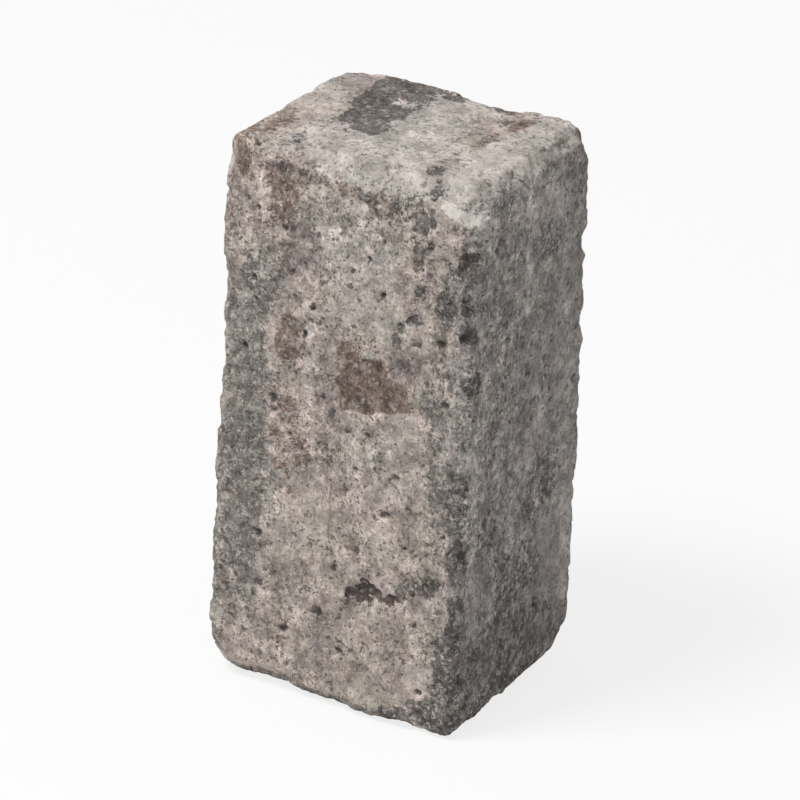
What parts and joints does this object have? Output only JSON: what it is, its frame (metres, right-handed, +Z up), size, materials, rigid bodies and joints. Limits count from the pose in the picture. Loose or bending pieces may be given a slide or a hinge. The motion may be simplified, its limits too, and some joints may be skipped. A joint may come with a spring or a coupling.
{
  "type": "palisade edging block",
  "caption": "Upright tumbled concrete block with worn edges and battered corners, set on end side by side to edge beds, lawns and paths.",
  "frame": {"origin": "centre of the foot, at floor level", "axes": "+Z up along the block's height; X along the row that such blocks are set in; -Y is the face that shows"},
  "size_m": [0.12, 0.1, 0.25],
  "materials": {
    "concrete": "rough, tumbled, marbled beige and charcoal"
  },
  "bodies": {
    "root": {"block": "concrete"}
  },
  "joints": []
}
